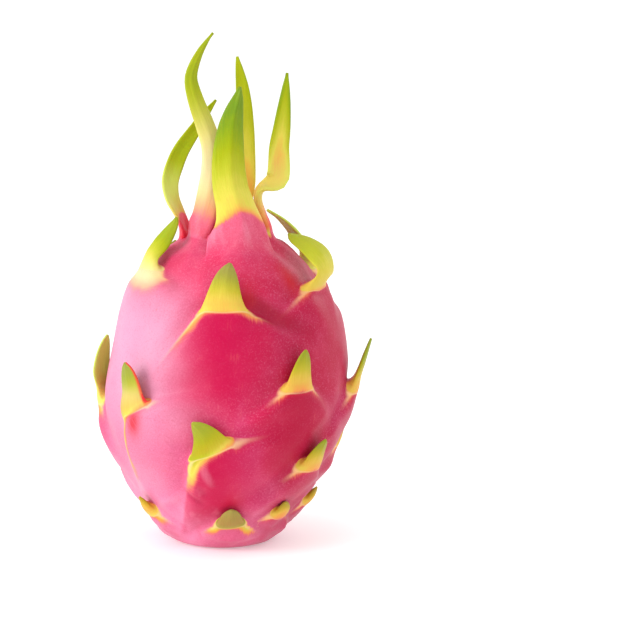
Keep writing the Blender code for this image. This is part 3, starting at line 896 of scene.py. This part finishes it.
def colour(red, green, blue):
    """A colour given as seen on a screen, 0 to 255, turned into the shader's linear values."""
    parts = [part / 255.0 for part in (red, green, blue)]
    return (*(part / 12.92 if part <= 0.04045 else ((part + 0.055) / 1.055) ** 2.4 for part in parts), 1.0)


def new_material(name):
    material = bpy.data.materials.new(name)
    material.use_nodes = True
    material.node_tree.nodes.clear()
    return material, Graph(material.node_tree)


def fruit_skin():
    """Waxy pink skin that turns yellow and green along each bract, with painted highlight and painted shade
    on it.
    """
    material, graph = new_material("fruit_skin")
    place = graph.node("ShaderNodeTexCoord", output=3)
    tone = graph.reading("tone")
    red = graph.reading("red")
    margin = graph.reading("margin")
    leg = graph.reading("leg")
    recess = graph.reading("recess")
    rise = graph.reading("rise")
    aside = graph.reading("aside")

    patches = graph.noise(place, PATCHES_PER_METRE, 2.0)
    cloud = graph.noise(place, CLOUDS_PER_METRE, 3.0, 0.6)
    grain = graph.noise(place, GRAINS_PER_METRE, 2.0, 0.7)
    streak_place = graph.node("ShaderNodeCombineXYZ", None, {"X": aside * 1.6, "Y": rise * 0.12, "Z": 0.0})
    streaks = graph.noise(streak_place, 1.0, 3.0, 0.6)

    milk = graph.reading("milk")
    blush = graph.reading("blush")
    dry = graph.reading("dry")
    folds = graph.fold_pattern(place)
    where = graph.node("ShaderNodeSeparateXYZ", None, {"Vector": place})
    high = graph.node("ShaderNodeSeparateXYZ", None, {"Vector": place}, output=2)
    # Paler lavender pink on the left of the body: partly painted highlight of the soft light from the left,
    # partly waxy bloom; less at the far left edge, the top and the bottom.
    left_highlight_and_bloom = graph.smooth(where + (patches - 0.5) * 0.03, 0.004, -0.034)
    left_highlight_and_bloom = left_highlight_and_bloom * (1.0 - graph.smooth(where, -0.036, -0.046) * 0.55)
    left_highlight_and_bloom = left_highlight_and_bloom * (1.0 - graph.smooth(high, 0.096, 0.110) * 0.8)
    left_highlight_and_bloom = left_highlight_and_bloom * (1.0 - graph.smooth(high, 0.064, 0.040) * 0.4)
    upper = graph.smooth(high + (patches - 0.5) * 0.02, 0.088, 0.106)
    upper = upper * (1.0 - graph.smooth(high, 0.108, 0.118))
    pale_neck = graph.smooth(high + (patches - 0.5) * 0.01, 0.110, 0.122)
    pale_foot = graph.smooth(high + (patches - 0.5) * 0.05, 0.040, 0.006)
    pink = graph.blend(graph.smooth(patches, 0.35, 0.7), colour(212, 44, 92), colour(206, 66, 118))
    pink = graph.blend(upper * 0.6, pink, colour(206, 44, 80))
    pink = graph.blend(pale_foot * 0.8, pink, colour(238, 142, 180))
    pink = graph.blend(pale_neck * 0.75, pink, colour(224, 100, 126))
    pink = graph.blend(left_highlight_and_bloom * 0.9, pink, colour(208, 150, 178))
    pink = graph.blend(blush * (1.0 - left_highlight_and_bloom * 0.5), pink, colour(188, 0, 66))
    fold_zone = graph.math("MAXIMUM", pale_neck, pale_foot * 0.7)
    # Painted highlight on the crests and painted shade in the troughs of the folds at the neck and the foot.
    pink = graph.blend(graph.smooth(folds, 0.52, 0.70) * fold_zone * 0.25, pink, colour(244, 164, 184))
    pink = graph.blend(graph.smooth(folds, 0.46, 0.30) * fold_zone * 0.3, pink, colour(206, 40, 84))
    crease = graph.reading("crease")
    # Painted highlight on raised creases and painted shade in sunk ones.
    pink = graph.blend(graph.smooth(crease, 0.05, 0.6) * 0.2, pink, colour(248, 176, 200))
    pink = graph.blend(graph.smooth(crease, -0.05, -0.6) * 0.5, pink, colour(170, 22, 66))
    # Painted shade: darker crimson towards the right of the body, away from the light, less at the neck.
    right = graph.smooth(where, 0.002, 0.030) * (1.0 - pale_neck * 0.7)
    pink = graph.blend(right * 0.6, pink, colour(158, 0, 36))
    calm = 1.0 - blush * 0.85
    pink = graph.blend(graph.smooth(cloud, 0.4, 0.75) * calm * 0.16, pink, colour(232, 110, 150))
    pink = graph.blend(graph.smooth(grain, 0.50, 0.70) * calm * 0.2, pink, colour(240, 150, 184))
    pink = graph.blend(graph.smooth(grain, 0.48, 0.30) * 0.2, pink, colour(176, 6, 60))
    # Painted shade in the recesses beside the blades.
    pink = graph.blend(graph.smooth(recess, 0.3, 2.0) * 0.75, pink, colour(156, 14, 44))

    wavy = tone + (streaks - 0.5) * 0.16 + (cloud - 0.5) * 0.16
    leaf = graph.node("ShaderNodeValToRGB", {"stops": [
        (0.0, colour(232, 96, 112)), (0.10, colour(230, 130, 86)), (0.20, colour(228, 170, 76)),
        (0.32, colour(214, 202, 76)), (0.5, colour(184, 186, 42)), (0.72, colour(160, 170, 4)),
        (0.9, colour(132, 156, 12)), (1.0, colour(110, 142, 24))]}, {"Fac": wavy})
    leaf = graph.blend(milk, leaf, colour(226, 212, 158))
    # Painted light: lighter green on blades that face away from the lamps or lie in shade.
    leaf = graph.blend(graph.reading("bright"), leaf, colour(208, 236, 112))
    leaf = graph.blend(dry * 0.8, leaf, colour(146, 136, 74))
    on_leaf = graph.smooth(wavy + milk * 0.3, 0.02, 0.16)
    base = graph.blend(on_leaf, pink, leaf)

    ridge = (1.0 - graph.smooth(graph.math("ABSOLUTE", margin - 0.3), 0.0, 1.1)) * leg
    base = graph.blend(ridge * 0.7, base, colour(240, 206, 150))
    strap = graph.smooth(margin, 0.0, -3.0) * red * graph.reading("blade")
    strap = graph.math("MULTIPLY", strap, 0.35 + streaks * 0.9, clamp=True)
    base = graph.blend(strap, base, colour(226, 46, 56))
    inside = (1.0 - graph.smooth(graph.math("ABSOLUTE", margin - 1.8), 0.0, 1.6)) * leg * red
    base = graph.blend(inside * 0.6, base, colour(222, 52, 44))

    # Dark red patches, partly stains and partly painted shade, as in the hollow right of the front shoulder
    # blade.
    base = graph.blend(graph.reading("stain") * (0.5 + streaks * 0.7), base, colour(196, 26, 34))
    rough = 0.40 + (cloud - 0.5) * 0.18 + on_leaf * 0.06
    height = (cloud - 0.5) * 0.25 + (grain - 0.5) * 0.12 + (streaks - 0.5) * on_leaf * 0.5
    bump = graph.node("ShaderNodeBump", None, {"Height": height, "Distance": 0.0006, "Strength": 0.5})
    shader = graph.node("ShaderNodeBsdfPrincipled", None, {
        "Base Color": base, "Roughness": rough, "Normal": bump,
        "Subsurface Weight": 0.08, "Subsurface Radius": (1.0, 0.25, 0.35), "Subsurface Scale": 0.004,
        "Sheen Weight": 0.03, "Sheen Roughness": 0.45, "Sheen Tint": colour(255, 215, 240),
        "Specular IOR Level": 0.14})
    graph.node("ShaderNodeOutputMaterial", None, {"Surface": shader})
    return material


def dry_fibre():
    """Straw brown of the dried flower parts."""
    material, graph = new_material("dry_fibre")
    place = graph.node("ShaderNodeTexCoord", output=3)
    base = graph.blend(graph.noise(place, 900.0), colour(104, 76, 44), colour(196, 164, 104))
    shader = graph.node("ShaderNodeBsdfPrincipled", None, {"Base Color": base, "Roughness": 0.8})
    graph.node("ShaderNodeOutputMaterial", None, {"Surface": shader})
    return material


def start_tree(name, inputs):
    """A Geometry Nodes tree with its named inputs, and their values by name."""
    tree = bpy.data.node_groups.new(name, "GeometryNodeTree")
    tree.interface.new_socket("Geometry", in_out="INPUT", socket_type="NodeSocketGeometry")
    for title, kind in inputs.items():
        tree.interface.new_socket(title, in_out="INPUT", socket_type=kind)
    tree.interface.new_socket("Geometry", in_out="OUTPUT", socket_type="NodeSocketGeometry")
    graph = Graph(tree)
    source = tree.nodes.new("NodeGroupInput")
    return graph, {title: Value(graph, source.outputs[title]) for title in ("Geometry", *inputs)}


def end_tree(graph, geometry, material):
    real = graph.node("GeometryNodeRealizeInstances", None, {"Geometry": geometry})
    dressed = graph.node("GeometryNodeSetMaterial", None, {"Geometry": real, "Material": material})
    graph.node("NodeGroupOutput", None, {"Geometry": dressed})


def apply_tree(piece, graph, values):
    """Run a tree on a piece and keep the result as its plain mesh."""
    modifier = piece.modifiers.new(graph.tree.name, "NODES")
    modifier.node_group = graph.tree
    for item in graph.tree.interface.items_tree:
        if item.in_out == "INPUT" and item.name in values:
            modifier[item.identifier] = values[item.name]
    evaluated = piece.evaluated_get(bpy.context.evaluated_depsgraph_get())
    made = bpy.data.meshes.new_from_object(evaluated)
    piece.modifiers.remove(modifier)
    piece.data = made


def relief_tree(material):
    """Moves the skin along its normal: folds near the neck and the foot, and fine pores all over."""
    graph, inputs = start_tree("skin_relief", {
        "Fold Depth": "NodeSocketFloat", "Pore Depth": "NodeSocketFloat"})
    place = graph.node("GeometryNodeInputPosition")
    normal = graph.node("GeometryNodeInputNormal")
    high = graph.node("ShaderNodeSeparateXYZ", None, {"Vector": place}, output=2)
    neck = graph.smooth(high, 0.100, 0.114) * (1.0 - graph.smooth(high, 0.124, 0.134))
    foot = graph.smooth(high, 0.034, 0.012)
    standing = graph.smooth(high, 0.001, 0.005)
    folds = (graph.fold_pattern(place) - 0.5) * inputs["Fold Depth"] * (neck + foot + 0.12)
    pores = (graph.noise(place, PORES_PER_METRE, 2.0) - 0.5) * inputs["Pore Depth"]
    offset = graph.node("ShaderNodeVectorMath", {"operation": "SCALE"},
                        {"Vector": normal, "Scale": (folds + pores) * standing})
    moved = graph.node("GeometryNodeSetPosition", None, {"Geometry": inputs["Geometry"], "Offset": offset})
    end_tree(graph, moved, material)
    return graph


def fibre_tree(material):
    """Stands tapered fibres on a bed, each with its own lean and length."""
    graph, inputs = start_tree("flower_scar_fibres", {
        "Length": "NodeSocketFloat", "Radius": "NodeSocketFloat", "Density": "NodeSocketFloat",
        "Seed": "NodeSocketInt"})
    roots = graph.node("GeometryNodeDistributePointsOnFaces", None,
                       {"Mesh": inputs["Geometry"], "Density": inputs["Density"], "Seed": inputs["Seed"]})
    fibre = graph.node("GeometryNodeMeshCone", None, {
        "Vertices": FIBRE_SIDES, "Side Segments": FIBRE_LENGTHS, "Radius Top": inputs["Radius"] * FIBRE_TIP,
        "Radius Bottom": inputs["Radius"], "Depth": inputs["Length"]})
    lean = graph.node("FunctionNodeRandomValue", {"data_type": "FLOAT_VECTOR"},
                      {0: (-FIBRE_LEAN, -FIBRE_LEAN, 0.0), 1: (FIBRE_LEAN, FIBRE_LEAN, TURN),
                       "Seed": inputs["Seed"]})
    scale = graph.node("FunctionNodeRandomValue", {"data_type": "FLOAT"},
                       {2: SHORTEST_FIBRE, 3: 1.0, "Seed": inputs["Seed"] + 1.0}, output=1)
    fibres = graph.node("GeometryNodeInstanceOnPoints", None,
                        {"Points": roots, "Instance": fibre, "Rotation": lean, "Scale": scale})
    end_tree(graph, fibres, material)
    return graph


def make_fibres():
    """Dried flower parts that stand in the scar inside the crown."""
    bed = bmesh.new()
    bmesh.ops.create_circle(
        bed, cap_ends=True, cap_tris=True, segments=FIBRE_BED_SIDES, radius=FIBRE_BED * MM)
    bmesh.ops.translate(bed, verts=bed.verts, vec=(LEAN_TO_RIGHT * MM, 0.0, FIBRE_BED_HEIGHT * MM))
    data = bpy.data.meshes.new("flower_scar_fibres")
    bed.to_mesh(data)
    bed.free()
    piece = bpy.data.objects.new("flower_scar_fibres", data)
    bpy.context.scene.collection.objects.link(piece)
    apply_tree(piece, fibre_tree(dry_fibre()), {
        "Length": FIBRE_LENGTH * MM, "Radius": FIBRE_RADIUS * MM, "Density": FIBRES_PER_SQUARE_METRE,
        "Seed": SEED})
    return piece


def make_skin():
    """The whole fruit as one closed mesh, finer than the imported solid."""
    body = Body()
    blocks = [Block(body, bract) for bract in all_bracts()]
    fruit = Fruit()
    numbers = grow_skin(fruit, body, blocks)
    for block in blocks:
        grow_blade(fruit, block, numbers)
    points = soften(np.array(fruit.points), fruit.faces, np.array(fruit.readings["root"]))

    used = np.unique(np.concatenate([np.array(face) for face in fruit.faces]))
    renumber = np.full(len(points), -1)
    renumber[used] = np.arange(len(used))
    faces = [[int(renumber[corner]) for corner in face] for face in fruit.faces]
    data = bpy.data.meshes.new("fruit")
    data.from_pydata((points[used] * MM).tolist(), [], faces)
    for name in Fruit.READINGS:
        layer = data.attributes.new(name, "FLOAT", "POINT")
        layer.data.foreach_set("value", np.array(fruit.readings[name], np.float32)[used])
    data.validate()
    data.shade_smooth()
    piece = bpy.data.objects.new("fruit", data)
    bpy.context.scene.collection.objects.link(piece)
    apply_tree(piece, relief_tree(fruit_skin()), {
        "Fold Depth": FOLD_DEPTH * MM, "Pore Depth": PORE_DEPTH * MM})
    return piece


# Camera, floor and lights, in metres but for the lens and the sensor
TARGET = Vector((37.26, 0.0, 84.94)) * MM
VIEW_WIDTH = 243.35 * MM
LENS = 200.0
SENSOR = 36.0
LOOK_DOWN = math.radians(10.0)
FLOOR_REACH = 6.0
LIGHTS_AIM = Vector((0.0, 0.0, 0.08))


def add_camera():
    data = bpy.data.cameras.new("camera")
    data.lens = LENS
    data.sensor_width = SENSOR
    camera = bpy.data.objects.new("camera", data)
    distance = VIEW_WIDTH * LENS / SENSOR
    camera.location = TARGET + Vector((0.0, -math.cos(LOOK_DOWN), math.sin(LOOK_DOWN))) * distance
    camera.rotation_euler = (math.pi / 2.0 - LOOK_DOWN, 0.0, 0.0)
    bpy.context.scene.collection.objects.link(camera)
    bpy.context.scene.camera = camera


def add_light(name, place, size, power):
    """A square soft light that faces the fruit's middle."""
    data = bpy.data.lights.new(name, "AREA")
    data.size = size
    data.energy = power
    light = bpy.data.objects.new(name, data)
    light.location = place
    aim = LIGHTS_AIM - Vector(place)
    light.rotation_euler = aim.to_track_quat("-Z", "Y").to_euler()
    bpy.context.scene.collection.objects.link(light)


def add_studio():
    """White floor, white surroundings and three soft lights."""
    floor_data = bpy.data.meshes.new("floor")
    corners = [(x * FLOOR_REACH, y * FLOOR_REACH, 0.0) for x, y in ((-1, -1), (1, -1), (1, 1), (-1, 1))]
    floor_data.from_pydata(corners, [], [(0, 1, 2, 3)])
    floor = bpy.data.objects.new("floor", floor_data)
    bpy.context.scene.collection.objects.link(floor)
    material, graph = new_material("studio_floor")
    shader = graph.node("ShaderNodeBsdfPrincipled", None, {
        "Base Color": (0.85, 0.85, 0.85, 1.0), "Roughness": 0.7, "Specular IOR Level": 0.2,
        "Emission Color": (1.0, 1.0, 1.0, 1.0), "Emission Strength": 0.3})
    graph.node("ShaderNodeOutputMaterial", None, {"Surface": shader})
    floor_data.materials.append(material)

    world = bpy.data.worlds.new("studio")
    bpy.context.scene.world = world
    world.use_nodes = True
    background = world.node_tree.nodes["Background"]
    background.inputs["Color"].default_value = (1.0, 1.0, 1.0, 1.0)
    background.inputs["Strength"].default_value = 0.95

    add_light("left_window", (-0.8, -0.35, 0.35), 0.5, 5.0)
    add_light("top_box", (-0.1, -0.15, 0.9), 0.6, 1.2)
    add_light("right_box", (0.6, 0.5, 0.45), 0.4, 1.2)


def main():
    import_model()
    scene = bpy.context.scene
    scene.view_settings.view_transform = "Standard"
    add_camera()
    add_studio()

    skin = make_skin()
    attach(skin, "root")
    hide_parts("dragon_fruit")
    fibres = make_fibres()
    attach(fibres, "root")


main()
